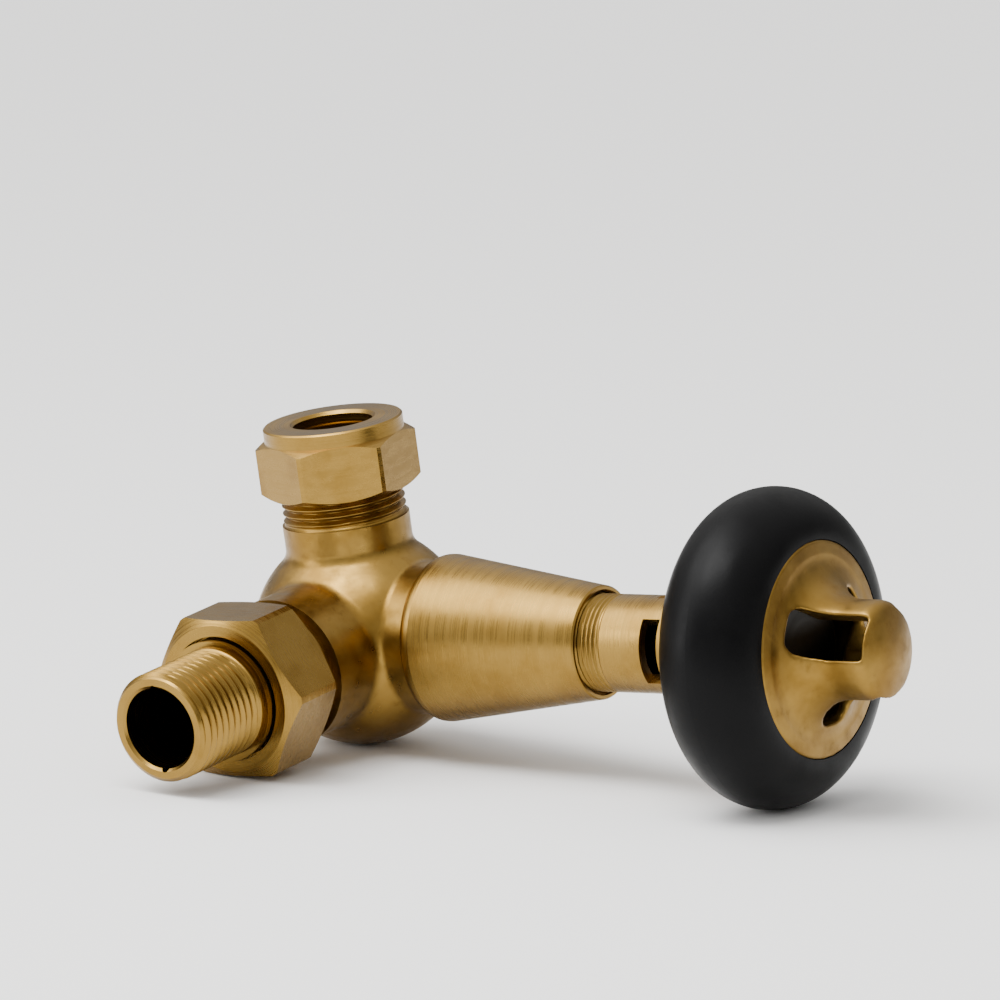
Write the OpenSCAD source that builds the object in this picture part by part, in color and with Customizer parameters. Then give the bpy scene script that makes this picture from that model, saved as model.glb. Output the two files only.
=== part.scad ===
// Angled radiator valve with a wheel-shaped sensor head.
// The three port axes are square to each other and cross at the origin.
// +Z is the pipe port, -Y the radiator tail and +X the sensor head. Millimetres.

/* [Pipe port] */
// Outside diameter of the pipe
pipe_d = 15; // [12:0.5:18]
// Gap all round between the pipe and its socket
pipe_gap = 0.1; // [0.05:0.01:0.2]
// Wall between the pipe socket and the outside of the port thread
port_wall = 4.2; // [3.6:0.1:5]
// Height of the port's mouth above the centre of the ball
port_reach = 36.5; // [35.5:0.1:44]
// Length of the thread at the port
port_thread_len = 11.2; // [10:0.2:12]
// How much the plain neck stands out past the thread, all round
neck_step = 0.4; // [0.1:0.05:1]
// Depth to which the pipe goes into the body
socket_depth = 19; // [16:0.5:20]
// Wall of the compression nut outside its thread, at the middle of a flat
pipe_nut_wall = 1.65; // [1.4:0.05:4]
// Height of the compression nut's hexagon
pipe_nut_hex_h = 10.8; // [9:0.2:11.6]
// Height of the round collar on top of the compression nut
pipe_nut_collar_h = 2.8; // [1.5:0.1:4]
// Turn of the compression nut's corners about the pipe's axis, as it was tightened
pipe_nut_turn = 38; // [0:1:59]
// Height of the straight band round the middle of the olive
olive_band = 2; // [1.5:0.1:2.4]
// Wall of the olive at its middle
olive_wall = 1.4; // [1.1:0.05:1.8]

/* [Body] */
// Diameter of the ball in the middle of the body
ball_d = 41.8; // [40:0.2:46]
// Radius of the fillets between the ball and its necks
neck_blend = 3.5; // [2:0.25:5]
// Bore of the valve seat
seat_bore_d = 11; // [8:0.5:11]
// Width of the flat sealing lip round the seat
seat_lip_w = 1; // [0.8:0.1:1.4]

/* [Radiator tail] */
// Thread diameter of the tail at the radiator end
tail_thread_d = 20.9; // [20:0.1:22]
// Bore through the tail
tail_bore_d = 15.4; // [13:0.2:15.6]
// Distance from the centre of the ball to the end of the tail
tail_reach = 65.6; // [62:0.2:75]
// Length of the tail's thread
tail_thread_len = 16.3; // [12:0.1:17]
// Diameter of the plain shoulder between the tail's thread and the union nut
tail_shoulder_d = 23.2; // [22.6:0.1:23.6]
// Thread diameter between the body and the union nut
union_thread_d = 26.4; // [26.2:0.1:28]
// Distance from the centre of the ball to the end of the union thread
union_reach = 39; // [38:0.2:44]
// Wall of the union nut outside its thread, at the middle of a flat
union_nut_wall = 1.75; // [1.5:0.05:4]
// Length of the union nut
union_nut_len = 14.2; // [13.5:0.1:16]
// Thickness of the union nut's front wall
union_nut_lip = 3.1; // [2:0.1:3.4]
// Turn of the union nut's corners about the tail, as it was tightened
union_nut_turn = -1; // [-30:1:30]
// Thickness of the tail's collar inside the union nut
tail_collar_h = 3; // [2.4:0.1:3.4]

/* [Sensor head] */
// Distance from the centre of the ball to the wide end of the cone
cone_start = 19.2; // [18.8:0.1:21]
// Length of the cone
cone_len = 36.6; // [34:0.2:42]
// Diameter of the cone at its wide end
cone_wide_d = 31.8; // [31.2:0.1:36]
// Diameter of the cone at its narrow end
cone_narrow_d = 21.5; // [21.2:0.1:24]
// Outside diameter of the threaded sleeve that carries the wheel
sleeve_d = 18.4; // [17.6:0.1:18.6]
// Wall of the sleeve
sleeve_wall = 2.2; // [1.6:0.1:2.4]
// Length of the sleeve inside the cone
sleeve_hold = 12; // [10:0.5:14]
// Length of the sleeve seen between the cone and its flare
sleeve_show = 17.6; // [15:0.2:24]
// Width of the air slots cut in the sleeve
air_slot_w = 3.8; // [2:0.2:5]
// Angle that each air slot covers
air_slot_sweep = 82; // [50:1:90]
// Outer diameter of the black ring
ring_d = 59.6; // [54:0.2:66]
// Thickness of the black ring
ring_t = 20.4; // [19:0.2:26]
// Diameter of the brass hub where it meets the black ring
hub_d = 40.4; // [39:0.2:44]
// Diameter of the hub's barrel inside the black ring
barrel_d = 33; // [32:0.2:34]
// Wall of the hub's barrel
barrel_wall = 2.5; // [2:0.1:3]
// Diameter of the knob at the front of the hub
knob_d = 18.9; // [18:0.1:21]
// Height of the knob in front of the ring
knob_h = 16; // [15:0.1:19]
// Rise of the hub's face between its rim and the knob
face_rise = 0.4; // [0.2:0.1:3]
// Number of windows, and of legs, round the knob
windows = 3; // [3:1:4]
// Width of each window
window_w = 8.4; // [6:0.2:8.8]
// How far each window reaches out from the axis, across the hub's face
window_reach = 13.8; // [12.5:0.1:14.4]
// Turn of the windows about the axis of the head
window_turn = -2.3; // [-60:0.1:60]

/* [Inside] */
// Thickness of the rubber disc that closes the seat
disc_t = 2.5; // [1.8:0.1:3]
// Distance by which the rubber disc stands off its seat, as in the photograph
lift = 2.5; // [2.5:0.1:3]
// Diameter of the valve spindle
spindle_d = 4; // [3:0.1:4.4]
// Diameter of the push rod through the sleeve
rod_d = 6; // [4:0.2:7]
// Wire diameter of the return spring
return_wire = 0.9; // [0.6:0.05:1]
// Wire diameter of the relief spring
relief_wire = 1; // [0.7:0.05:1.2]
// Diameter of the sensor capsule
capsule_d = 23; // [18:0.2:24]
// Length of the sensor capsule
capsule_len = 13; // [11:0.2:14]

/* [Hidden] */

$fn = 96;
FIT = 0.05;       // running fit, all round
SEAT = 0.02;      // gap between pieces that seat on each other
EPS = 0.01;       // overlap that keeps cuts clean
SOFT = 0.3;       // small edge chamfer

brass = [0.79, 0.62, 0.30];
cast_brass = [0.74, 0.58, 0.30];
black = [0.08, 0.08, 0.09];
steel = [0.70, 0.70, 0.72];
rubber = [0.12, 0.12, 0.12];

// pipe port, heights above the centre of the ball
pipe_r = pipe_d / 2;
socket_r = pipe_r + pipe_gap;
port_r = socket_r + port_wall;
neck_r = port_r + neck_step;
port_thread_start = port_reach - port_thread_len;
socket_floor = port_reach - socket_depth;
mouth_slope = tan(30);
mouth_r = port_r - 2.4;
mouth_h = (mouth_r - socket_r) / mouth_slope;
waterway_r = pipe_r - 1.3;
olive_r = socket_r + olive_wall;
olive_nose_r = socket_r + 0.35;
olive_low = port_reach - (mouth_r - SEAT * 3 - olive_nose_r) / mouth_slope;
olive_cone_h = (olive_r - olive_nose_r) / mouth_slope;
olive_band_low = olive_low + olive_cone_h;
olive_band_top = olive_band_low + olive_band;
olive_top = olive_band_top + olive_cone_h;
pipe_nut_hole_r = pipe_r + 0.15;
pipe_nut_af = 2 * (port_r + FIT + pipe_nut_wall);
pipe_nut_lip = 2.15;
pipe_nut_top = olive_top + (olive_nose_r - pipe_nut_hole_r) / mouth_slope + pipe_nut_lip;
pipe_nut_low = pipe_nut_top - pipe_nut_collar_h - pipe_nut_hex_h;
pipe_nut_thread_top = port_reach + 0.6;

// body
ball_r = ball_d / 2;
seat_bore_r = seat_bore_d / 2;
seat_x = 1.5;
seat_wall_low = -2.5;
seat_wall_top = 0.5;
inlet_chamber_r = 9.4;
outlet_chamber_r = 8.5;
outlet_chamber_end = -13.5;

// radiator tail, distances from the centre of the ball
tail_bore_r = tail_bore_d / 2;
tail_thread_r = tail_thread_d / 2;
tail_shoulder_r = tail_shoulder_d / 2;
key_groove_r = 0.85;
union_r = union_thread_d / 2;
union_neck_r = union_r + 0.9;
union_thread_start = union_reach - 10;
tail_collar_r = union_r - 0.3;
tail_collar_low = union_reach + 0.1;
tail_collar_top = tail_collar_low + tail_collar_h;
union_nut_top = tail_collar_top + 0.1 + union_nut_lip;
union_nut_low = union_nut_top - union_nut_len;
union_nut_af = 2 * (union_r + FIT + union_nut_wall);
union_nut_hole_r = tail_shoulder_r + 0.45;
nose_r = tail_bore_r + 2.35;
nose_socket_r = nose_r + FIT * 2;
nose_len = 4.6;
nose_low = tail_collar_low - nose_len;
nose_socket_low = nose_low - 0.6;
seal_wire_r = 0.7;
seal_major_r = nose_r + FIT - seal_wire_r;
seal_mid = nose_low + 1.9;
outlet_bore_r = 8;

// head boss and insert, distances from the centre of the ball
boss_thread_r = 13;
boss_end = cone_start + 7.9;
boss_r = cone_wide_d / 2 - 1.4;
insert_thread_r = 10;
insert_low = 12.5;
insert_floor = insert_low + 2;
insert_shoulder = 14.2;
insert_flange_r = 11.8;
insert_flange_t = 1.2;
insert_flange_top = boss_end + 4;
insert_hex_af = 20;
insert_seal_wire_r = 0.85;
insert_seal_r = insert_thread_r + 0.25;
insert_recess = 1.8;
spring_bore_r = 5.6;
gland_thread_r = spring_bore_r + 0.6;
gland_low = boss_end + 0.4;
gland_hex_h = 5;
gland_top = insert_flange_top + gland_hex_h;
gland_hex_af = 14;
gland_groove_low = insert_flange_top + 1.2;
gland_groove_h = 1.8;
gland_seal_wire_r = 0.86;

// spindle train at rest
spindle_r = spindle_d / 2;
disc_face = seat_x + lift;
disc_r = seat_bore_r + seat_lip_w + 0.6;
disc_back = disc_face + disc_t;
holder_lip = 1.5;
holder_r = disc_r + 0.8;
holder_back = disc_back + 2;
screw_r = 1.5;
screw_head_r = 2.8;
screw_head_h = 1.4;
screw_len = 5;
cap_low = 23.9;
cap_t = 1.2;
cap_r = spring_bore_r - 0.35;
clip_low = cap_low + cap_t + SEAT;
clip_t = 0.8;
clip_groove_r = spindle_r - 0.4;
spindle_top = gland_top + 5.5;

// cone, sleeve and hub
cone_end = cone_start + cone_len;
cone_thread_r = boss_thread_r + FIT;
cone_room_r = 12;
cone_room_end = insert_flange_top + 2.6;
sleeve_r = sleeve_d / 2;
sleeve_bore_r = sleeve_r - sleeve_wall;
cone_sleeve_start = gland_top + 0.9;
sleeve_low = cone_end - sleeve_hold;
sleeve_flare = cone_end + sleeve_show;
hub_r = hub_d / 2;
disc_rim_r = hub_r - SEAT;
barrel_r = barrel_d / 2;
barrel_bore_r = barrel_r - barrel_wall;
ring_back = sleeve_flare + 9.8;
ring_front = ring_back + ring_t;
ring_r = ring_d / 2;
flare_rim = 0.9;
spigot_h = 3;
knob_r = knob_d / 2;
knob_top = ring_front + knob_h;
knob_round = 2.2;
knob_dome_r = 24;
dome_x = knob_top - knob_dome_r;
dome_edge_r = knob_r - knob_round;
dome_edge_x = dome_x + sqrt(pow(knob_dome_r - knob_round, 2) - pow(dome_edge_r, 2));
dome_join_r = dome_edge_r * knob_dome_r / (knob_dome_r - knob_round);
face_knee_r = 17.6;
face_blend = 8;
cavity_r = 6;
cavity_top = knob_top - 2.6;
cap_core_r = 8;
window_top = knob_top - 2;

// push rod, relief unit and sensor
rod_r = rod_d / 2;
guide_low = sleeve_low + 0.8;
guide_top = guide_low + 6;
cup_r = sleeve_bore_r - 0.7;
cup_bore_r = cup_r - 1;
cup_low = sleeve_flare - 1.8;
cup_top = cup_low + 8.6;
cup_end = 1.2;
rod_head_low = cup_low + 1;
rod_head_t = 1;
rod_head_r = cup_bore_r - 0.1;
cup_clip_t = 0.6;
piston_r = 2.6;
holder_low = ring_back + spigot_h + 0.9;
holder_t = 5;
holder_ring_r = barrel_bore_r - FIT;
capsule_r = capsule_d / 2;
capsule_low = holder_low + 0.4;
capsule_top = capsule_low + capsule_len;
piston_room = capsule_low + 4.2;

// Turns a piece drawn along +Z so that it lies along +X.
module to_head() { rotate([0, 90, 0]) children(); }

// Turns a piece drawn along +Z so that it lies along -Y, towards the radiator.
module to_tail() { rotate([90, 0, 0]) children(); }

// A plain turned length between two heights.
module rod(r, low, top) { translate([0, 0, low]) cylinder(r = r, h = top - low); }

// A turned cone between two heights.
module taper(r_low, r_top, low, top) {
  translate([0, 0, low]) cylinder(r1 = r_low, r2 = r_top, h = top - low);
}

// A flat ring with square edges.
module washer(r, bore_r, low, top) {
  difference() {
    rod(r, low, top);
    rod(bore_r, low - 1, top + 1);
  }
}

// A ring of round section.
module round_ring(major_r, wire_r, at) {
  translate([0, 0, at]) rotate_extrude() translate([major_r, 0]) circle(wire_r, $fn = 24);
}

// A hexagon across flats af, with its corners turned off to a bar of radius bar_r
// and both ends chamfered at thirty degrees from flat_r outwards.
module hexagon(af, bar_r, low, top, flat_r) {
  run = bar_r - flat_r;
  drop = run * tan(30);
  intersection() {
    translate([0, 0, low]) cylinder(r = af / 2 / cos(30), h = top - low, $fn = 6);
    rotate_extrude() polygon([[0, low], [flat_r, low], [bar_r, low + drop],
      [bar_r, top - drop], [flat_r, top], [0, top]]);
  }
}

// Neck that grows out of the ball with a round fillet, drawn along +Z.
module ball_neck(r, reach, blend) {
  rise = sqrt(pow(ball_r + blend, 2) - pow(r + blend, 2));
  share = ball_r / (ball_r + blend);
  rod(r, 0, reach);
  rotate_extrude() difference() {
    polygon([[r - 2, 0], [(r + blend) * share, rise * share], [r + blend, rise], [r - 2, rise]]);
    translate([r + blend, rise]) circle(blend);
  }
}

// Helical spring with closed end coils, between two heights.
module coil_spring(mean_r, wire_r, low, top, coils) {
  sides = 8;
  steps = 20;
  last = coils * steps;
  span = top - low - 2 * wire_r;
  dead = 2.1 * wire_r;
  function climb(u) = u < 1 ? dead * u : u > coils - 1 ? span - dead * (coils - u)
    : dead + (span - 2 * dead) * (u - 1) / (coils - 2);
  points = [for (i = [0:last], j = [0:sides - 1])
    let (turn = 360 * i / steps, r = mean_r + wire_r * cos(360 * j / sides))
    [r * cos(turn), r * sin(turn),
      low + wire_r + climb(i / steps) + wire_r * sin(360 * j / sides)]];
  skin = [for (i = [0:last - 1], j = [0:sides - 1])
    let (a = i * sides + j, b = i * sides + (j + 1) % sides)
    [a, a + sides, b + sides, b]];
  ends = [[for (j = [0:sides - 1]) j], [for (j = [sides - 1:-1:0]) last * sides + j]];
  polyhedron(points, concat(skin, ends), convexity = 10);
}

// Waterways through the ball, past the seat wall.
module waterways() {
  rod(socket_r, socket_floor, port_reach + 1);
  taper(socket_r, mouth_r + mouth_slope, port_reach - mouth_h, port_reach + 1);
  rod(waterway_r, 12.2, socket_floor + EPS);
  translate([1.5, 0, 14.5]) rotate([0, 135, 0]) cylinder(r = 4.8, h = 10);
  to_tail() {
    rod(outlet_bore_r, 13, nose_socket_low + EPS);
    rod(nose_socket_r, nose_socket_low, union_reach + 1);
    translate([-3.5, 0, 15]) rotate([0, 208, 0]) cylinder(r = 4.6, h = 9);
  }
  to_head() {
    rod(outlet_chamber_r, outlet_chamber_end, seat_wall_low);
    rod(seat_bore_r, seat_wall_low - EPS, seat_x + EPS);
    difference() {
      rod(inlet_chamber_r, seat_wall_top, insert_shoulder);
      rod(seat_bore_r + seat_lip_w, seat_wall_top - 1, seat_x);
    }
    rod(insert_thread_r, insert_shoulder - EPS, boss_end + 1);
    rod(insert_thread_r + 1.2, boss_end - insert_recess, boss_end + 1);
  }
}

module valve_body() {
  color(cast_brass) difference() {
    union() {
      sphere(ball_r);
      ball_neck(neck_r, port_thread_start, neck_blend);
      rod(port_r, port_thread_start - 1, port_reach);
      to_tail() {
        ball_neck(union_neck_r, union_thread_start - 2, neck_blend);
        rod(union_r - 0.9, union_thread_start - 3, union_thread_start + 1);
        rod(union_r, union_thread_start, union_reach);
      }
      to_head() {
        ball_neck(boss_r, cone_start, neck_blend / 2);
        rod(boss_thread_r, cone_start - 1, boss_end);
      }
    }
    waterways();
  }
}

module compression_nut() {
  color(brass) rotate(pipe_nut_turn) difference() {
    union() {
      hexagon(pipe_nut_af, pipe_nut_af / 2 / cos(30) - 0.25, pipe_nut_low,
        pipe_nut_low + pipe_nut_hex_h, pipe_nut_af / 2 - 0.15);
      rod(pipe_nut_af / 2 - 0.1, pipe_nut_top - pipe_nut_collar_h - 1, pipe_nut_top - SOFT);
      taper(pipe_nut_af / 2 - 0.1, pipe_nut_af / 2 - 0.1 - SOFT, pipe_nut_top - SOFT,
        pipe_nut_top);
    }
    rod(pipe_nut_hole_r, pipe_nut_low, pipe_nut_top + 1);
    taper(pipe_nut_hole_r, pipe_nut_hole_r + 0.6, pipe_nut_top - 0.6, pipe_nut_top + EPS);
    taper(olive_r + 0.06, pipe_nut_hole_r, olive_band_top,
      olive_band_top + (olive_r + 0.06 - pipe_nut_hole_r) / mouth_slope);
    rod(olive_r + 0.06, pipe_nut_low, olive_band_top + EPS);
    rod(port_r + FIT, pipe_nut_low - 1, pipe_nut_thread_top);
  }
}

module olive() {
  color(brass) rotate_extrude() polygon([[socket_r, olive_low], [olive_nose_r, olive_low],
    [olive_r, olive_band_low], [olive_r, olive_band_top], [olive_nose_r, olive_top],
    [socket_r, olive_top]]);
}

module union_nut() {
  bar_r = union_nut_af / 2 / cos(30) - 0.35;
  color(brass) to_tail() rotate(union_nut_turn) difference() {
    hexagon(union_nut_af, bar_r, union_nut_low, union_nut_top, union_nut_af / 2 - 0.9);
    rod(union_r + FIT, union_nut_low - 1, union_nut_top - union_nut_lip);
    rod(union_nut_hole_r, union_nut_low, union_nut_top + 1);
    taper(union_r + 1, union_r, union_nut_low - EPS, union_nut_low + 1);
  }
}

module union_tail() {
  thread_low = tail_reach - tail_thread_len;
  color(brass) to_tail() difference() {
    union() {
      rod(nose_r, nose_low, tail_collar_low + 1);
      rod(tail_collar_r, tail_collar_low, tail_collar_top);
      rod(tail_shoulder_r, tail_collar_top - 1, thread_low);
      rod(tail_thread_r, thread_low - 1, tail_reach - 1);
      taper(tail_thread_r, tail_thread_r - 0.9, tail_reach - 1 - EPS, tail_reach);
    }
    rod(tail_bore_r, nose_low - 1, tail_reach + 1);
    taper(tail_bore_r, tail_bore_r + 0.5, tail_reach - 0.5, tail_reach + EPS);
    for (side = [-1, 1]) translate([0, side * (tail_bore_r - 0.25), 0])
      rod(key_groove_r, tail_collar_low, tail_reach + 1);
    difference() {
      rod(nose_r + 1, seal_mid - seal_wire_r - 0.1, seal_mid + seal_wire_r + 0.1);
      rod(seal_major_r - seal_wire_r - SEAT, nose_low, tail_collar_low);
    }
  }
}

module tail_seal() { color(rubber) to_tail() round_ring(seal_major_r, seal_wire_r, seal_mid); }

module head_cone() {
  wide_r = cone_wide_d / 2;
  narrow_r = cone_narrow_d / 2;
  lip = 2;
  color(brass) to_head() difference() {
    rotate_extrude() {
      polygon([[0, cone_start], [wide_r - lip, cone_start], [wide_r - lip, cone_start + lip],
        [wide_r, cone_start + lip], [wide_r, cone_start + lip + 0.6],
        [narrow_r, cone_end - SOFT], [narrow_r - SOFT, cone_end], [0, cone_end]]);
      translate([wide_r - lip, cone_start + lip]) intersection() {
        circle(lip);
        translate([0, -lip]) square(lip);
      }
    }
    rod(cone_thread_r, cone_start - 1, boss_end + 0.4);
    rod(cone_room_r, cone_start + 2, cone_room_end);
    taper(cone_room_r, sleeve_r + FIT, cone_room_end - EPS, cone_sleeve_start);
    rod(sleeve_r + FIT, cone_sleeve_start - EPS, cone_end + 1);
    taper(sleeve_r + FIT, sleeve_r + FIT + 0.7, cone_end - 0.7, cone_end + EPS);
  }
}

// One air slot through the sleeve's wall, a sector of a ring.
module air_slot() {
  low = sleeve_flare - air_slot_w;
  translate([0, 0, low]) rotate(-air_slot_sweep / 2)
    rotate_extrude(angle = air_slot_sweep) translate([sleeve_bore_r - 1, 0])
      square([sleeve_wall + 3, air_slot_w]);
}

module head_sleeve() {
  flare_r = ring_back - flare_rim - sleeve_flare;
  slot_turn = 25;
  color(brass) to_head() difference() {
    union() {
      rod(sleeve_r, sleeve_low + SOFT, ring_back);
      taper(sleeve_r - SOFT, sleeve_r, sleeve_low, sleeve_low + SOFT + EPS);
      rotate_extrude() difference() {
        polygon([[sleeve_r - 1, sleeve_flare], [hub_r, sleeve_flare], [hub_r, ring_back],
          [sleeve_r - 1, ring_back]]);
        translate([hub_r, sleeve_flare]) scale([(hub_r - sleeve_r) / flare_r, 1]) circle(flare_r);
      }
      rod(barrel_bore_r - SEAT, ring_back - 1, ring_back + spigot_h);
    }
    rod(sleeve_bore_r, sleeve_low - 1, cup_top - 1);
    taper(sleeve_bore_r, barrel_bore_r - 3, cup_top - 1 - EPS, ring_back);
    rod(barrel_bore_r - 3, ring_back - EPS, ring_back + spigot_h + 1);
    for (i = [0:2]) rotate(slot_turn + 120 * i) air_slot();
  }
}

// One slot of a window, from the axis out across the face, with a rounded outer end.
module window_slot() {
  corner = window_w * 0.33;
  depth = window_top - ring_front + 6;
  translate([0, 0, ring_front - 6]) {
    translate([0, -window_w / 2, 0]) cube([window_reach - corner, window_w, depth]);
    translate([0, -window_w / 2 + corner, 0]) cube([window_reach, window_w - 2 * corner, depth]);
    for (side = [-1, 1])
      translate([window_reach - corner, side * (window_w / 2 - corner), 0])
        cylinder(r = corner, h = depth);
  }
}

module hub_knob() {
  face_x = ring_front + face_rise;
  color(cast_brass) to_head() difference() {
    union() {
      rod(barrel_r, ring_back + SEAT, ring_front);
      rotate_extrude() {
        polygon([[0, ring_front - 1], [disc_rim_r, ring_front - 1], [disc_rim_r, ring_front],
          [face_knee_r, face_x], [0, face_x]]);
        difference() {
          polygon([[0, face_x - 1], [knob_r + face_blend, face_x - 1],
            [knob_r + face_blend, face_x + face_blend], [0, face_x + face_blend]]);
          translate([knob_r + face_blend, face_x + face_blend]) circle(face_blend);
        }
        square([knob_r, dome_edge_x]);
        translate([dome_edge_r, dome_edge_x]) circle(knob_round);
        intersection() {
          translate([0, dome_x]) circle(knob_dome_r);
          translate([0, ring_front]) square([dome_join_r, knob_top - ring_front + 1]);
        }
      }
    }
    rod(barrel_bore_r, -1, ring_front - 1.2);
    taper(barrel_bore_r, cavity_r, ring_front - 1.2 - EPS, ring_front + 1);
    rod(cavity_r, 0, cavity_top);
    difference() {
      for (i = [0:windows - 1]) rotate(window_turn + 360 / windows * i) window_slot();
      rod(cap_core_r, cavity_top, knob_top);
    }
    rod(barrel_bore_r + 0.9, holder_low + holder_t + 0.05, holder_low + holder_t + 1.25);
  }
}

module wheel_ring() {
  bulge = ring_r - hub_r;
  bore_r = barrel_r + SEAT;
  color(black) to_head() difference() {
    rotate_extrude() {
      translate([bore_r, ring_back + SEAT]) square([hub_r - bore_r, ring_t - 1 - 2 * SEAT]);
      translate([hub_r, ring_back + SEAT]) square([EPS, ring_t - 2 * SEAT]);
      intersection() {
        translate([hub_r, (ring_back + ring_front) / 2])
          scale([bulge / (ring_t / 2 - SEAT), 1]) circle(ring_t / 2 - SEAT);
        translate([hub_r, ring_back]) square([bulge + 1, ring_t]);
      }
    }
  }
}

module rod_guide() {
  color(black) to_head() washer(sleeve_bore_r - SEAT, rod_r + FIT, guide_low, guide_top);
}

module insert_body() {
  color(brass) to_head() difference() {
    union() {
      rod(insert_thread_r - 1.2, insert_low, insert_shoulder + 1);
      rod(insert_thread_r - SEAT, insert_shoulder + 0.1, boss_end - insert_recess);
      rod(insert_seal_r - insert_seal_wire_r - SEAT, insert_shoulder, boss_end + 1);
      rod(insert_flange_r, boss_end + SEAT, boss_end + insert_flange_t);
      hexagon(insert_hex_af, insert_hex_af / 2 / cos(30) - 0.2, boss_end + 1,
        insert_flange_top, insert_hex_af / 2 - 0.2);
    }
    rod(spindle_r + FIT, insert_low - 1, insert_floor + 1);
    rod(spring_bore_r, insert_floor, insert_flange_top);
    rod(gland_thread_r, gland_low - 0.8, insert_flange_top + 1);
  }
}

module insert_seal() {
  color(rubber) to_head()
    round_ring(insert_seal_r, insert_seal_wire_r, boss_end - insert_recess / 2);
}

module gland_nut() {
  color(brass) to_head() difference() {
    union() {
      rod(gland_thread_r - SEAT, gland_low, insert_flange_top + 1);
      hexagon(gland_hex_af, gland_hex_af / 2 / cos(30) - 0.2, insert_flange_top + SEAT,
        gland_top, gland_hex_af / 2 - 0.2);
    }
    rod(spindle_r + FIT, gland_low - 1, gland_top + 1);
    rod(spindle_r + FIT + 2 * gland_seal_wire_r + SEAT, gland_groove_low,
      gland_groove_low + gland_groove_h);
  }
}

module gland_seal() {
  color(rubber) to_head() round_ring(spindle_r + FIT + gland_seal_wire_r, gland_seal_wire_r,
    gland_groove_low + gland_groove_h / 2);
}

module return_spring() {
  color(steel) to_head() coil_spring(spring_bore_r - return_wire / 2 - 0.65, return_wire / 2,
    insert_floor + SEAT, cap_low - SEAT, 6);
}

module spring_cap() { color(steel) to_head() washer(cap_r, spindle_r + SEAT, cap_low, cap_low + cap_t); }

module spindle_clip() {
  color(steel) to_head() difference() {
    washer(spindle_r + 1.4, clip_groove_r + SEAT, clip_low, clip_low + clip_t);
    translate([0, -clip_groove_r, clip_low - 1]) cube([spindle_r + 3, 2 * clip_groove_r, 3]);
  }
}

module spindle() {
  color(steel) to_head() difference() {
    union() {
      rod(spindle_r, holder_back + SEAT, spindle_top - 0.5);
      taper(spindle_r, spindle_r - 0.5, spindle_top - 0.5 - EPS, spindle_top);
    }
    difference() {
      rod(spindle_r + 1, clip_low - SEAT, clip_low + clip_t + SEAT);
      rod(clip_groove_r, clip_low - 1, clip_low + 3);
    }
    rod(screw_r + SEAT, holder_back - 1, holder_back + screw_len + 0.5);
  }
}

module disc_holder() {
  color(brass) to_head() difference() {
    rod(holder_r, disc_face + disc_t - holder_lip, holder_back);
    rod(disc_r + SEAT, disc_face, disc_back + SEAT);
    rod(screw_r + SEAT, disc_back, holder_back + 1);
  }
}

module valve_disc() {
  color(rubber) to_head() washer(disc_r, screw_r + SEAT, disc_face, disc_back);
}

module disc_screw() {
  color(brass) to_head() difference() {
    union() {
      rod(screw_head_r, disc_face - SEAT - screw_head_h, disc_face - SEAT);
      rod(screw_r, disc_face - SEAT - EPS, holder_back + screw_len);
    }
    translate([-screw_head_r - 1, -0.4, disc_face - screw_head_h - 1])
      cube([2 * screw_head_r + 2, 0.8, 1.6]);
  }
}

module push_rod() {
  color(brass) to_head() {
    rod(rod_r, spindle_top + SEAT, rod_head_low + EPS);
    rod(rod_head_r, rod_head_low, rod_head_low + rod_head_t);
  }
}

module relief_cup() {
  color(brass) to_head() difference() {
    rod(cup_r, cup_low, cup_top);
    rod(cup_bore_r, cup_low - 1, cup_top - cup_end);
    rod(cup_bore_r + 0.4, cup_low + 0.2, cup_low + 0.2 + cup_clip_t + 2 * SEAT);
  }
}

module relief_spring() {
  color(steel) to_head() coil_spring(cup_bore_r - relief_wire / 2 - 0.35, relief_wire / 2,
    rod_head_low + rod_head_t + SEAT, cup_top - cup_end - SEAT, 4);
}

module cup_clip() {
  clip_low = cup_low + 0.2 + SEAT;
  color(steel) to_head() difference() {
    washer(cup_bore_r + 0.35, rod_r + 0.3, clip_low, clip_low + cup_clip_t);
    translate([0, -1.2, clip_low - 1]) cube([cup_r + 1, 2.4, 3]);
  }
}

module sensor_piston() { color(steel) to_head() rod(piston_r, cup_top + SEAT, piston_room - 1); }

module sensor_capsule() {
  color(steel) to_head() difference() {
    rotate_extrude() {
      translate([0, capsule_low]) square([capsule_r, capsule_len - 2]);
      translate([0, capsule_low]) square([capsule_r - 2, capsule_len]);
      translate([capsule_r - 2, capsule_top - 2]) circle(2);
    }
    rod(piston_r + FIT, capsule_low - 1, piston_room);
  }
}

// Plastic spider that carries the capsule in the hub and lets air past.
module sensor_holder() {
  lip_r = capsule_r - 1.2;
  color(black) to_head() {
    washer(holder_ring_r, holder_ring_r - 1.2, holder_low, holder_low + holder_t);
    washer(capsule_r + 1.1, capsule_r + SEAT, holder_low, holder_low + holder_t);
    washer(capsule_r + 1.1, lip_r, holder_low - 0.6, capsule_low - SEAT);
    for (i = [0:5]) rotate(60 * i) translate([capsule_r + 1, -0.9, holder_low])
      cube([holder_ring_r - capsule_r - 1.7, 1.8, holder_t]);
  }
}

module holder_clip() {
  low = holder_low + holder_t + 0.05 + SEAT;
  color(steel) to_head() difference() {
    washer(barrel_bore_r + 0.85, barrel_bore_r - 1.3, low, low + 1.1);
    translate([0, -3, low - 1]) cube([barrel_r, 6, 4]);
  }
}

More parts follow.
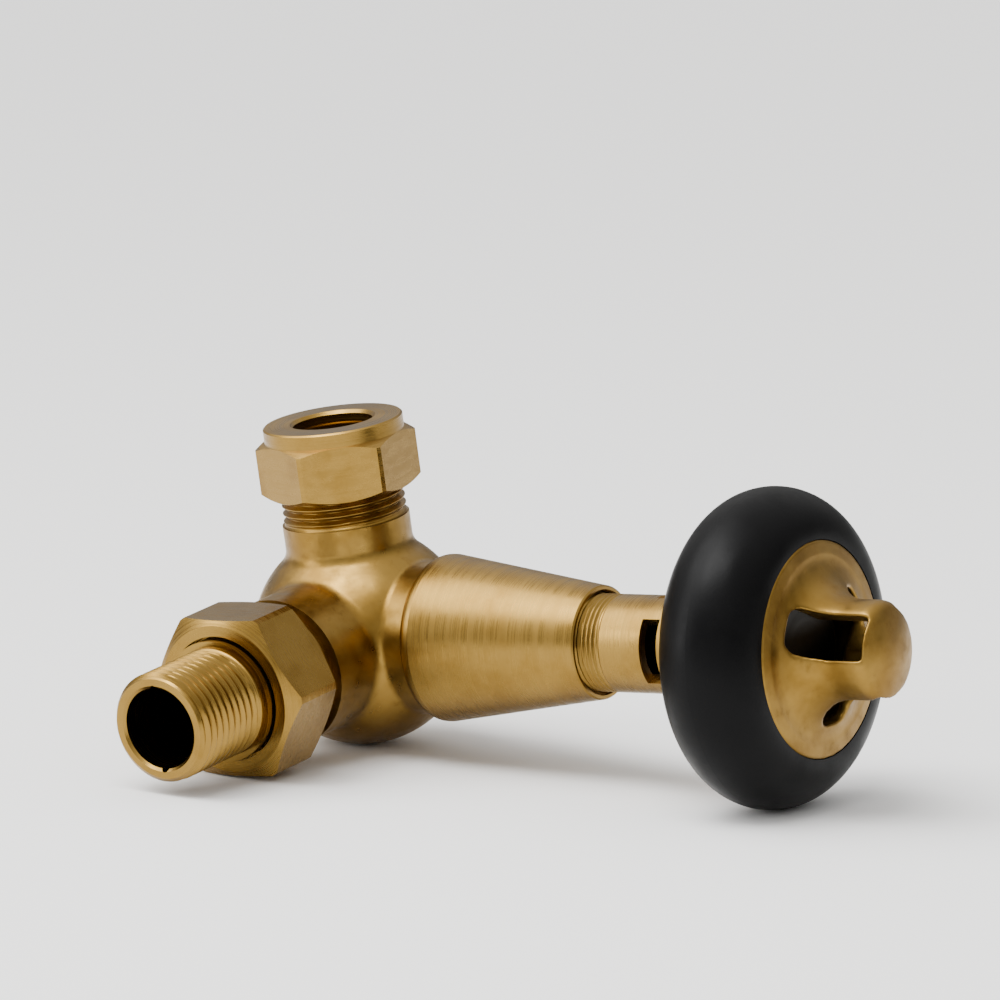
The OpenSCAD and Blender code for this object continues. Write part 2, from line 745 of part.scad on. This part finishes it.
valve_body();
compression_nut();
olive();
union_nut();
union_tail();
tail_seal();
head_cone();
head_sleeve();
hub_knob();
wheel_ring();
rod_guide();
insert_body();
insert_seal();
gland_nut();
gland_seal();
return_spring();
spring_cap();
spindle_clip();
spindle();
disc_holder();
valve_disc();
disc_screw();
push_rod();
relief_cup();
relief_spring();
cup_clip();
sensor_piston();
sensor_capsule();
sensor_holder();
holder_clip();
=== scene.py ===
"""An angled brass radiator valve with a wheel-shaped sensor head, dressed over its solids."""

import math

import bmesh
import bpy
from mathutils import Matrix, Vector


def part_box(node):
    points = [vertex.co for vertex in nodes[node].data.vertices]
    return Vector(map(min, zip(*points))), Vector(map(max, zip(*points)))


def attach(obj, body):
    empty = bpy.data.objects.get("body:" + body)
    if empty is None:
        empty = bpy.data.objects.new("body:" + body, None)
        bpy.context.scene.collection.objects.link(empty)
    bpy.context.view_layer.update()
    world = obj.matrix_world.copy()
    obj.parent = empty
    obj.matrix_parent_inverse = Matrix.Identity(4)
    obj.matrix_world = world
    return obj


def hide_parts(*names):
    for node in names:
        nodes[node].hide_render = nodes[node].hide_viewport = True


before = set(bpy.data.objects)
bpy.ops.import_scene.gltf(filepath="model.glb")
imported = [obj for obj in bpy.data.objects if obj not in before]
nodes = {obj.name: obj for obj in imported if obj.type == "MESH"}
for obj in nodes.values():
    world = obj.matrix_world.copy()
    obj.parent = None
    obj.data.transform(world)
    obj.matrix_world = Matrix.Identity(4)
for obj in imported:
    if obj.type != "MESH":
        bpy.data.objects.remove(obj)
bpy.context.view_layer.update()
MM = 0.001

# Camera: a long lens, low and in front of the tail's mouth, as in the photograph.
# The valve lies loose, so the camera is rolled and the floor is tilted to suit it.
LENS = 251.57
SENSOR = 36
STAND = Vector((0.78425, -1.03861, 0.30743))
RIGHT = Vector((0.82094, 0.55590, -0.13052))
UP = Vector((-0.01545, 0.25012, 0.96809))
AHEAD = Vector((-0.57080, 0.79273, -0.21392))

camera = bpy.data.objects.new("photo_camera", bpy.data.cameras.new("photo_camera"))
bpy.context.scene.collection.objects.link(camera)
camera.data.sensor_width = SENSOR
camera.data.lens = LENS
camera.data.clip_start = 0.05
camera.data.clip_end = 30
camera.matrix_world = Matrix([
    (RIGHT.x, UP.x, -AHEAD.x, STAND.x),
    (RIGHT.y, UP.y, -AHEAD.y, STAND.y),
    (RIGHT.z, UP.z, -AHEAD.z, STAND.z),
    (0, 0, 0, 1),
])
bpy.context.scene.camera = camera

# Floor: a sheet of white card, tilted so that the valve rests on its ball, on the
# rim of its wheel and on one corner of the union nut.
FLOOR_NORMAL = Vector((0.0944, 0.1248, 0.9877)).normalized()
FLOOR_DROP = 20.95 * MM
FLOOR_REACH = 6.0
CARD_WHITE = (0.92, 0.92, 0.915)


def new_material(name, colour, roughness):
    """A material with one shader; returns it, its node tree and the shader."""
    material = bpy.data.materials.new(name)
    material.use_nodes = True
    shader = material.node_tree.nodes["Principled BSDF"]
    shader.inputs["Base Color"].default_value = (*colour, 1)
    shader.inputs["Roughness"].default_value = roughness
    return material, material.node_tree, shader


def feed(tree, socket, value):
    """Links a socket to another socket, or sets it to a plain value."""
    if isinstance(value, bpy.types.NodeSocket):
        tree.links.new(value, socket)
    elif isinstance(value, tuple) and len(value) == 3 and len(socket.default_value) == 4:
        socket.default_value = (*value, 1)
    else:
        socket.default_value = value


def node_with(tree, kind, **inputs):
    """A new node whose named inputs are fed."""
    node = tree.nodes.new(kind)
    for name, value in inputs.items():
        feed(tree, node.inputs[name.replace("_", " ")], value)
    return node


def noise(tree, vector, scale, detail=3.0, roughness=0.5):
    cloud = node_with(tree, "ShaderNodeTexNoise", Vector=vector, Scale=scale, Detail=detail, Roughness=roughness)
    return cloud.outputs["Fac"]


def spread(tree, value, low, high, to_low=0.0, to_high=1.0):
    """Maps a value from between two limits to between two others, smoothly."""
    mapped = tree.nodes.new("ShaderNodeMapRange")
    mapped.interpolation_type = "SMOOTHSTEP"
    for name, number in (("Value", value), ("From Min", low), ("From Max", high), ("To Min", to_low), ("To Max", to_high)):
        feed(tree, mapped.inputs[name], number)
    return mapped.outputs["Result"]


def blend_colours(tree, factor, first, second):
    mix = tree.nodes.new("ShaderNodeMix")
    mix.data_type = "RGBA"
    feed(tree, mix.inputs[0], factor)
    feed(tree, mix.inputs[6], first)
    feed(tree, mix.inputs[7], second)
    return mix.outputs[2]


def bumps(tree, height, distance, under=None):
    """Small relief in metres, laid over another relief where one is given."""
    relief = node_with(tree, "ShaderNodeBump", Height=height, Distance=distance)
    if under is not None:
        tree.links.new(under, relief.inputs["Normal"])
    return relief.outputs["Normal"]


def own_place(tree):
    return tree.nodes.new("ShaderNodeTexCoord").outputs["Object"]


card, card_tree, card_shader = new_material("white_card", CARD_WHITE, 0.85)
card_fibres = noise(card_tree, own_place(card_tree), 900, 3, 0.6)
card_tree.links.new(bumps(card_tree, card_fibres, 0.02 * MM), card_shader.inputs["Normal"])
across = FLOOR_NORMAL.orthogonal().normalized()
along = FLOOR_NORMAL.cross(across)
floor_mesh = bpy.data.meshes.new("floor")
floor_mesh.from_pydata(
    [FLOOR_REACH * (a * across + b * along) - FLOOR_DROP * FLOOR_NORMAL for a, b in ((-1, -1), (1, -1), (1, 1), (-1, 1))],
    [], [(0, 1, 2, 3)])
floor_mesh.materials.append(card)
floor = bpy.data.objects.new("floor", floor_mesh)
bpy.context.scene.collection.objects.link(floor)

# Light: a studio that is bright overhead and dimmer round the sides, one wide soft
# lamp high on the left for the card, and two soft boxes for the long highlights.
STUDIO_WHITE = (1.0, 0.99, 0.975)
OVERHEAD = 1.30
ROUND_THE_SIDES = 0.24

world = bpy.data.worlds.new("studio")
bpy.context.scene.world = world
world.use_nodes = True
studio = world.node_tree
studio_height = studio.nodes.new("ShaderNodeSeparateXYZ")
studio.links.new(studio.nodes.new("ShaderNodeTexCoord").outputs["Generated"], studio_height.inputs[0])
backdrop = studio.nodes["Background"]
backdrop.inputs["Color"].default_value = (*STUDIO_WHITE, 1)
studio.links.new(spread(studio, studio_height.outputs["Z"], -0.1, 0.85, ROUND_THE_SIDES, OVERHEAD),
                 backdrop.inputs["Strength"])


def hang(name, light, place, target=(0.03, 0, 0)):
    """Hangs a light where it faces the valve."""
    lamp = bpy.data.objects.new(name, light)
    bpy.context.scene.collection.objects.link(lamp)
    lamp.location = place
    lamp.rotation_mode = "QUATERNION"
    lamp.rotation_quaternion = (Vector(target) - Vector(place)).to_track_quat("-Z", "Y")


def softbox(name, place, size, power):
    light = bpy.data.lights.new(name, "AREA")
    light.shape = "RECTANGLE"
    light.size, light.size_y = size
    light.energy = power
    hang(name, light, place)


wide_lamp = bpy.data.lights.new("wide_lamp", "SUN")
wide_lamp.angle = math.radians(50)
wide_lamp.energy = 2.8
hang("wide_lamp", wide_lamp, (-0.9, -0.5, 2.2))
softbox("left_softbox", (-0.70, -0.75, 0.45), (0.35, 0.60), 5)
softbox("top_softbox", (0.10, -0.25, 0.80), (0.60, 0.35), 6)

# Valve body: one brass casting of a ball and three short necks, blasted and left bare.
# Its port and its union neck are turned, and a die has cut their threads.
BRASS = (0.275, 0.165, 0.038)
BRASS_DEEP = (0.200, 0.110, 0.020)
TARNISH = (0.10, 0.045, 0.006)
PORT_PITCH = 1.5 * MM
UNION_PITCH = 1.814 * MM
THREAD_CLEAR = 0.03 * MM
FACET_SAG = 0.05 * MM
THREAD_SIDES = 120
ROWS_A_TURN = 14
PORT_THREAD = {"crest": 11.8 * MM, "start": 23.2 * MM, "length": 15.4 * MM, "pitch": PORT_PITCH, "depth": 0.9 * MM}
UNION_THREAD = {"crest": 13.2 * MM, "start": 30.5 * MM, "length": 11 * MM, "pitch": UNION_PITCH, "depth": 0.9 * MM}
TO_PORT = Matrix.Identity(4)
TO_TAIL = Matrix.Rotation(math.radians(90), 4, "X")
TO_HEAD = Matrix.Rotation(math.radians(90), 4, "Y")


def cast_brass(name, light=BRASS, deep=BRASS_DEEP, roughness=0.34, swell=0.16 * MM):
    """Bare cast brass: softly uneven, a little cloudy, with a fine blasted grain."""
    material, tree, shader = new_material(name, light, roughness)
    place = own_place(tree)
    cloud = noise(tree, place, 95, 4, 0.55)
    stain = noise(tree, place, 340, 5, 0.6)
    tint = blend_colours(tree, spread(tree, cloud, 0.38, 0.72), light, deep)
    tint = blend_colours(tree, spread(tree, stain, 0.56, 0.84, 0.0, 0.6), tint, TARNISH)
    tree.links.new(tint, shader.inputs["Base Color"])
    tree.links.new(spread(tree, stain, 0.3, 0.7, roughness - 0.07, roughness + 0.09), shader.inputs["Roughness"])
    swells = bumps(tree, noise(tree, place, 170, 2, 0.45), swell)
    grain = bumps(tree, noise(tree, place, 4200, 2, 0.6), 0.012 * MM, swells)
    tree.links.new(grain, shader.inputs["Normal"])
    shader.inputs["Metallic"].default_value = 1.0
    return material


def figure(tree, operation, *values, clamp=False):
    """One Math node, for a material or for Geometry Nodes; returns its result."""
    sum_node = tree.nodes.new("ShaderNodeMath")
    sum_node.operation = operation
    sum_node.use_clamp = clamp
    for socket, value in zip(sum_node.inputs, values):
        feed(tree, socket, value)
    return sum_node.outputs[0]


def thread_die_tree():
    """Geometry Nodes for a thread die: a closed ring whose inside wall is the thread.

    A grid is rolled up. Its last rows run back along the outside of the ring, and the
    rest follow the thread, which fades in and out over one turn at each end of the cut.
    """
    tree = bpy.data.node_groups.new("thread_die", "GeometryNodeTree")
    tree.interface.new_socket("Die", in_out="OUTPUT", socket_type="NodeSocketGeometry")
    for name in ("Crest", "Start", "Length", "Pitch", "Depth", "Clear", "Wall"):
        tree.interface.new_socket(name, in_out="INPUT", socket_type="NodeSocketFloat")
    for name in ("Sides", "Rows"):
        tree.interface.new_socket(name, in_out="INPUT", socket_type="NodeSocketInt")
    tree.interface.new_socket("Finish", in_out="INPUT", socket_type="NodeSocketMaterial")
    size = tree.nodes.new("NodeGroupInput").outputs

    grid = node_with(tree, "GeometryNodeMeshGrid", Size_X=1.0, Size_Y=1.0,
                     Vertices_X=figure(tree, "ADD", size["Sides"], 1.0), Vertices_Y=figure(tree, "ADD", size["Rows"], 1.0))
    place = tree.nodes.new("ShaderNodeSeparateXYZ")
    tree.links.new(tree.nodes.new("GeometryNodeInputPosition").outputs[0], place.inputs[0])
    turn = figure(tree, "ADD", place.outputs["X"], 0.5)
    row = figure(tree, "ROUND", figure(tree, "MULTIPLY", figure(tree, "ADD", place.outputs["Y"], 0.5), size["Rows"]))

    rows_left = figure(tree, "SUBTRACT", size["Rows"], row)
    outside = figure(tree, "MULTIPLY", figure(tree, "LESS_THAN", rows_left, 2.5), figure(tree, "GREATER_THAN", rows_left, 0.5))
    share = figure(tree, "DIVIDE", row, figure(tree, "SUBTRACT", size["Rows"], 3.0), clamp=True)
    share = figure(tree, "MULTIPLY", share, figure(tree, "GREATER_THAN", rows_left, 1.5))
    run = figure(tree, "MULTIPLY", share, size["Length"])
    height = figure(tree, "ADD", run, size["Start"])

    turns = figure(tree, "DIVIDE", run, size["Pitch"])
    phase = figure(tree, "FRACT", figure(tree, "ADD", figure(tree, "SUBTRACT", turns, turn), 8.0))
    ridge = figure(tree, "ABSOLUTE", figure(tree, "SUBTRACT", figure(tree, "MULTIPLY", phase, 2.0), 1.0))
    groove = figure(tree, "DIVIDE", figure(tree, "SUBTRACT", 0.92, ridge), 0.84, clamp=True)
    turns_left = figure(tree, "DIVIDE", figure(tree, "SUBTRACT", size["Length"], run), size["Pitch"])
    for near_end in (turns, turns_left):
        groove = figure(tree, "MULTIPLY", groove, figure(tree, "MULTIPLY", near_end, 1.0, clamp=True))
    inner = figure(tree, "SUBTRACT", figure(tree, "ADD", size["Crest"], size["Clear"]),
                   figure(tree, "MULTIPLY", groove, figure(tree, "ADD", size["Depth"], size["Clear"])))
    outer = figure(tree, "ADD", size["Crest"], size["Wall"])
    radius = figure(tree, "ADD", figure(tree, "MULTIPLY", inner, figure(tree, "SUBTRACT", 1.0, outside)),
                    figure(tree, "MULTIPLY", outer, outside))

    angle = figure(tree, "MULTIPLY", turn, math.tau)
    rolled = node_with(tree, "ShaderNodeCombineXYZ", X=figure(tree, "MULTIPLY", radius, figure(tree, "COSINE", angle)),
                       Y=figure(tree, "MULTIPLY", radius, figure(tree, "SINE", angle)), Z=height)
    shaped = node_with(tree, "GeometryNodeSetPosition", Geometry=grid.outputs["Mesh"], Position=rolled.outputs[0])
    welded = node_with(tree, "GeometryNodeMergeByDistance", Geometry=shaped.outputs[0], Distance=0.001 * MM)
    real = node_with(tree, "GeometryNodeRealizeInstances", Geometry=welded.outputs[0])
    dressed = node_with(tree, "GeometryNodeSetMaterial", Geometry=real.outputs[0], Material=size["Finish"])
    tree.links.new(dressed.outputs[0], tree.nodes.new("NodeGroupOutput").inputs[0])
    return tree


THREAD_DIE = thread_die_tree()


def plain_mesh(piece):
    """Turns a piece and its modifiers into a plain mesh and drops the modifiers."""
    seen = piece.evaluated_get(bpy.context.evaluated_depsgraph_get())
    mesh = bpy.data.meshes.new_from_object(seen)
    piece.modifiers.clear()
    piece.data = mesh
    return mesh


def new_piece(name, mesh):
    piece = bpy.data.objects.new(name, mesh)
    bpy.context.scene.collection.objects.link(piece)
    return piece


def thread_die(name, finish, turned, crest, start, length, pitch, depth):
    """The ring that cuts one thread, with its axis turned to that of the piece."""
    rows = round(length / pitch * ROWS_A_TURN) + 3
    die = new_piece(name, bpy.data.meshes.new(name))
    cutter = die.modifiers.new("thread", "NODES")
    cutter.node_group = THREAD_DIE
    sizes = {"Crest": crest, "Start": start, "Length": length, "Pitch": pitch, "Depth": depth, "Clear": THREAD_CLEAR,
             "Wall": 1.5 * MM, "Sides": THREAD_SIDES, "Rows": rows, "Finish": finish}
    for socket in THREAD_DIE.interface.items_tree:
        if socket.in_out == "INPUT":
            cutter[socket.identifier] = sizes[socket.name]
    mesh = plain_mesh(die)
    mesh.transform(turned)
    shape = bmesh.new()
    shape.from_mesh(mesh)
    bmesh.ops.recalc_face_normals(shape, faces=shape.faces)
    shape.to_mesh(mesh)
    shape.free()
    return die


def closed_copy(node_name, piece_name):
    """A copy of a CAD node as a new piece, its loose triangles merged to a closed skin.

    The node's stored normals belong to its loose triangles, so the copy drops them.
    """
    piece = new_piece(piece_name, nodes[node_name].data.copy())
    stored = piece.data.attributes.get("custom_normal")
    if stored:
        piece.data.attributes.remove(stored)
    shape = bmesh.new()
    shape.from_mesh(piece.data)
    bmesh.ops.remove_doubles(shape, verts=shape.verts, dist=0.0005 * MM)
    shape.to_mesh(piece.data)
    shape.free()
    return piece


def cut_away(piece, cutter):
    """Takes the cutter out of the piece, and the cutter out of the scene."""
    taken = piece.modifiers.new("cut", "BOOLEAN")
    taken.operation = "DIFFERENCE"
    taken.solver = "MANIFOLD"
    taken.object = cutter
    plain_mesh(piece)
    bpy.data.objects.remove(cutter)


def shine_evenly(mesh, walls):
    """Gives the round walls that a die has cut into their true normals.

    A cut leaves corners in the middle of a wall's flat facets, which would streak it.
    """
    normals = [Vector((0, 0, 0))] * len(mesh.loops)
    for turned, radius in walls:
        back = turned.inverted()
        places = [back @ corner.co for corner in mesh.vertices]
        for face in mesh.polygons:
            upright = abs((back @ face.normal).z) < 0.2
            if upright and all(abs(places[i].xy.length - radius) < FACET_SAG for i in face.vertices):
                for loop in face.loop_indices:
                    place = places[mesh.loops[loop].vertex_index]
                    outward = turned @ Vector((place.x, place.y, 0)).normalized()
                    normals[loop] = outward if outward.dot(face.normal) > 0 else -outward
    mesh.normals_split_custom_set(normals)


def finish_piece(piece, material, node_name, body, crease=30, walls=()):
    """Gives a finished piece its material and its body, and hides the node it stands for."""
    piece.data.materials.clear()
    piece.data.materials.append(material)
    piece.data.shade_smooth()
    piece.data.set_sharp_from_angle(angle=math.radians(crease))
    if walls:
        shine_evenly(piece.data, walls)
    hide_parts(node_name)
    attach(piece, body)


body_brass = cast_brass("body_brass")
body = closed_copy("valve_body", "threaded_body")
cut_away(body, thread_die("port_die", body_brass, TO_PORT, **PORT_THREAD))
cut_away(body, thread_die("union_die", body_brass, TO_TAIL, **UNION_THREAD))
finish_piece(body, body_brass, "valve_body", "valve",
             walls=((TO_PORT, PORT_THREAD["crest"]), (TO_TAIL, UNION_THREAD["crest"])))

# Compression nut and olive: the nut is turned from hexagon bar and left as it comes off
# the lathe, and it squeezes the plain brass olive onto the pipe.
LATHE_MARKS = 5200


def turned_brass(name, axis, light=BRASS, deep=BRASS_DEEP, roughness=0.28, anisotropy=0.55):
    """Metal off the lathe: fine rings round one axis and a streaked, satin shine."""
    material, tree, shader = new_material(name, light, roughness)
    place = own_place(tree)
    parts = node_with(tree, "ShaderNodeSeparateXYZ", Vector=place).outputs
    side, other = [parts[i] for i in range(3) if i != axis]
    radius = figure(tree, "SQRT", figure(tree, "ADD", figure(tree, "MULTIPLY", side, side), figure(tree, "MULTIPLY", other, other)))
    rings = node_with(tree, "ShaderNodeCombineXYZ", X=radius, Y=parts[axis], Z=figure(tree, "MULTIPLY", side, 0.012)).outputs[0]
    fine = noise(tree, rings, LATHE_MARKS, 3, 0.7)
    wide = noise(tree, rings, 900, 2, 0.5)
    cloud = noise(tree, place, 120, 4, 0.6)
    tint = blend_colours(tree, spread(tree, cloud, 0.40, 0.75, 0.0, 0.7), light, deep)
    tree.links.new(tint, shader.inputs["Base Color"])
    dull = figure(tree, "ADD", spread(tree, fine, 0.3, 0.7, -0.05, 0.06), spread(tree, wide, 0.3, 0.7, -0.04, 0.05))
    tree.links.new(figure(tree, "ADD", dull, roughness), shader.inputs["Roughness"])
    tree.links.new(bumps(tree, fine, 0.006 * MM, bumps(tree, wide, 0.006 * MM)), shader.inputs["Normal"])
    shader.inputs["Metallic"].default_value = 1.0
    shader.inputs["Anisotropic"].default_value = anisotropy
    round_axis = tree.nodes.new("ShaderNodeTangent")
    round_axis.direction_type = "RADIAL"
    round_axis.axis = "XYZ"[axis]
    tree.links.new(round_axis.outputs[0], shader.inputs["Tangent"])
    return material


def dress(material, *names):
    """CAD nodes that keep their shape take a better finish."""
    for name in names:
        for slot in nodes[name].material_slots:
            slot.material = material


dress(turned_brass("pipe_nut_brass", 2), "compression_nut", "olive")

# Union nut: a large nut from hexagon bar with a wide turned face. It pulls the tail's
# collar against the body.
union_brass = turned_brass("union_nut_brass", 1)
dress(union_brass, "union_nut")

# Union tail: a turned tube that screws into the radiator, with a long coarse thread and
# two lugs' grooves in its bore for the fitter's key.
TAIL_THREAD = {"crest": 10.45 * MM, "start": 47.2 * MM, "length": 21.2 * MM, "pitch": UNION_PITCH, "depth": 1.15 * MM}

tail_brass = turned_brass("tail_brass", 1, roughness=0.24)
tail = closed_copy("union_tail", "threaded_tail")
cut_away(tail, thread_die("tail_die", tail_brass, TO_TAIL, **TAIL_THREAD))
finish_piece(tail, tail_brass, "union_tail", "tail", walls=((TO_TAIL, TAIL_THREAD["crest"]),))

# Cone: one turned cover, screwed on the body's third neck, with a brushed shine.
head_brass = turned_brass("head_brass", 0)
dress(head_brass, "head_cone")

# Sleeve: a turned tube held in the cone by a fine thread, of which a few turns show.
# The air slots behind the wheel let the room's air reach the sensor.
SLEEVE_THREAD = {"crest": 9.2 * MM, "start": 43.2 * MM, "length": 17.6 * MM, "pitch": 1.0 * MM, "depth": 0.42 * MM}

sleeve = closed_copy("head_sleeve", "threaded_sleeve")
cut_away(sleeve, thread_die("sleeve_die", head_brass, TO_HEAD, **SLEEVE_THREAD))
finish_piece(sleeve, head_brass, "head_sleeve", "handwheel", walls=((TO_HEAD, SLEEVE_THREAD["crest"]),))

# Hub and knob: one brass casting in the wheel. Three legs carry the round cap and leave
# a window between each two; every edge of it is soft from the mould.
CAST_GRAIN = 0.32 * MM
LIP_ROUNDS = 28
FACE_PLAIN_RADIUS = 15.4 * MM
LIP_RADIUS = 14.6 * MM

hub_brass = cast_brass("hub_brass", roughness=0.40, swell=0.05 * MM)
hub = closed_copy("hub_knob", "cast_hub")
hub_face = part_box("wheel_ring")[1].x
skin = hub.modifiers.new("skin", "REMESH")
skin.mode = "VOXEL"
skin.voxel_size = CAST_GRAIN
skin.use_smooth_shade = True
plain_mesh(hub)
lips = hub.vertex_groups.new(name="lips")
for corner in hub.data.vertices:
    reach = math.hypot(corner.co.y, corner.co.z)
    outward = (FACE_PLAIN_RADIUS - reach) / (FACE_PLAIN_RADIUS - LIP_RADIUS)
    forward = (corner.co.x - hub_face) / (1.0 * MM) + 1.5
    lips.add([corner.index], 0.12 + 0.88 * max(0.0, min(1.0, outward, forward)), "REPLACE")
soften = hub.modifiers.new("soften", "SMOOTH")
soften.factor = 0.5
soften.iterations = LIP_ROUNDS
soften.vertex_group = lips.name
plain_mesh(hub)
finish_piece(hub, hub_brass, "hub_knob", "handwheel", crease=60)


# Ring: the wheel's grip, a turned ring of round section in satin black, pressed on the
# hub. The rod guide and the sensor's holder are moulded in black as well.
def satin_black(name, colour=(0.0016, 0.0016, 0.0018), roughness=0.40, gloss=0.09):
    """Black lacquer or plastic: a faint orange peel, dulled here and there by hands."""
    material, tree, shader = new_material(name, colour, roughness)
    place = own_place(tree)
    smear = noise(tree, place, 90, 4, 0.6)
    tree.links.new(spread(tree, smear, 0.35, 0.7, roughness - 0.06, roughness + 0.08), shader.inputs["Roughness"])
    tree.links.new(bumps(tree, noise(tree, place, 1500, 2, 0.5), 0.010 * MM), shader.inputs["Normal"])
    shader.inputs["Specular IOR Level"].default_value = gloss
    return material


dress(satin_black("ring_black"), "wheel_ring", "rod_guide", "sensor_holder")

# Insert: the turned brass cartridge in the body's third neck, with the gland nut on
# top. It carries the spindle, whose foot holds the disc that closes the seat.
dress(head_brass, "insert_body", "gland_nut", "disc_holder", "disc_screw")

# Push rod and relief cup: turned brass pieces in the sleeve that pass the sensor's
# stroke to the spindle. The cup gives way when the valve is already shut.
dress(head_brass, "push_rod", "relief_cup")

# Seals: black rubber rings and the valve's disc, matt and a little grainy.
dress(satin_black("seal_rubber", (0.012, 0.012, 0.012), 0.65, 0.35), "tail_seal", "insert_seal", "gland_seal", "valve_disc")

# Sensor: a capsule of wax in a blackened steel can, held in the hub by a clip of the
# same steel. It is what shows dark through the windows.
BLACKENED = (0.022, 0.020, 0.018)

dress(turned_brass("blackened_steel", 0, BLACKENED, BLACKENED, 0.42, 0.2), "sensor_capsule", "holder_clip")

# Steel pieces: springs of drawn wire, the ground spindle with its clip, the cup's clip
# and the sensor's piston, all bare stainless steel.
STEEL = (0.50, 0.50, 0.51)
STEEL_DEEP = (0.38, 0.38, 0.39)

dress(turned_brass("drawn_steel", 0, STEEL, STEEL_DEEP, 0.25, 0.3), "return_spring", "relief_spring", "spring_cap",
      "spindle", "spindle_clip", "cup_clip", "sensor_piston")
